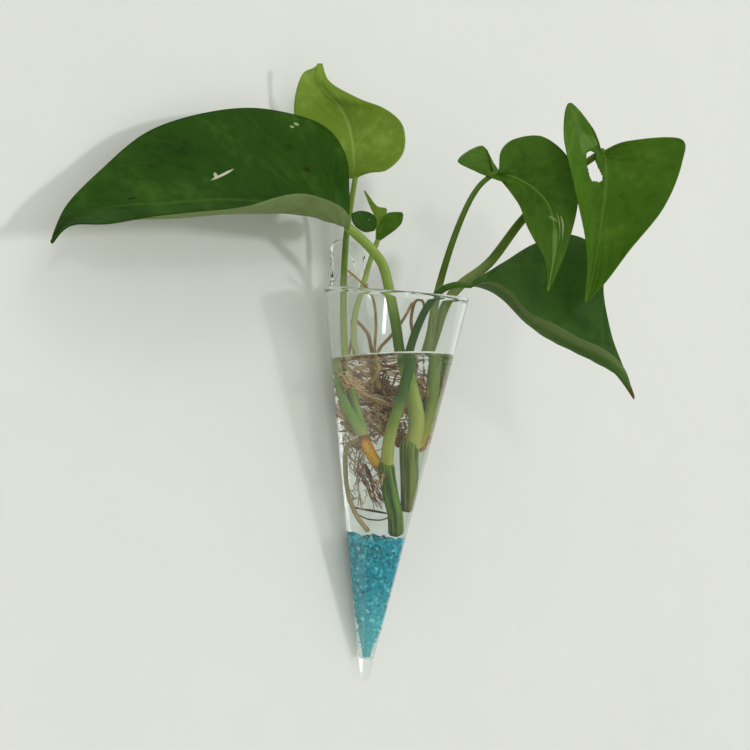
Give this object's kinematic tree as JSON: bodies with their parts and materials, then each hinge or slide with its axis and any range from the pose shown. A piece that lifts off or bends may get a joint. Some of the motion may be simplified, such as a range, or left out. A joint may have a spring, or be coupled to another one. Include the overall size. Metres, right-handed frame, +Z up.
{
  "type": "hanging vase",
  "caption": "Wall-hung cone of clear glass with a holed hanging tab, holding coloured gravel, water and a rooted bunch of leafy vine cuttings.",
  "frame": {"origin": "centre of the hanging hole, on the wall plane that the back edge of the cone lies on", "axes": "+Y into the wall, along the hook or nail; +Z up; +X to the right for someone who faces the wall"},
  "size_m": [0.2551, 0.1322, 0.2819],
  "materials": {
    "clear_glass": "clear, fire polished",
    "water": "clear liquid",
    "gravel_chips": "wet, dyed blue green",
    "green_vine": "satin green stem",
    "pale_vine": "satin grey green stem",
    "yellow_stub": "dried yellow stem",
    "stalk_green": "satin green stem",
    "stalk_pale": "satin pale green stem",
    "stalk_dark": "satin dark green stem",
    "leaf_dark": "waxy living leaf",
    "leaf_mid": "waxy living leaf",
    "leaf_light": "waxy living leaf",
    "root_tan": "wet root",
    "root_pale": "wet root",
    "root_brown": "damp root",
    "root_dark": "wet root"
  },
  "bodies": {
    "vase": {"glass_vessel": "clear_glass", "water": "water", "gravel": "gravel_chips"},
    "cuttings": {"front_vine_piece": "green_vine", "middle_vine_piece": "pale_vine", "vine_stub": "yellow_stub", "large_leaf_stalk": "stalk_green", "large_leaf": "leaf_dark", "light_leaf_stalk": "stalk_pale", "light_leaf": "leaf_light", "young_leaf_stalk": "stalk_pale", "young_leaf": "leaf_light", "leaf_sheath": "stalk_pale", "front_leaf_stalk": "stalk_dark", "front_leaf": "leaf_dark", "curled_leaf_stalk": "stalk_green", "curled_leaf": "leaf_mid", "notched_leaf_stalk": "stalk_green", "notched_leaf": "leaf_mid", "root_tangle": "root_tan", "fine_roots": "root_dark", "anchor_root": "root_pale", "root_loops": "root_brown"}
  },
  "joints": [
    {"name": "cuttings_lift", "type": "slide", "parent": "vase", "child": "cuttings", "axis": [0, -0.171, 0.9853], "range_m": [0, 0.2], "deforming": ["water"]}
  ]
}
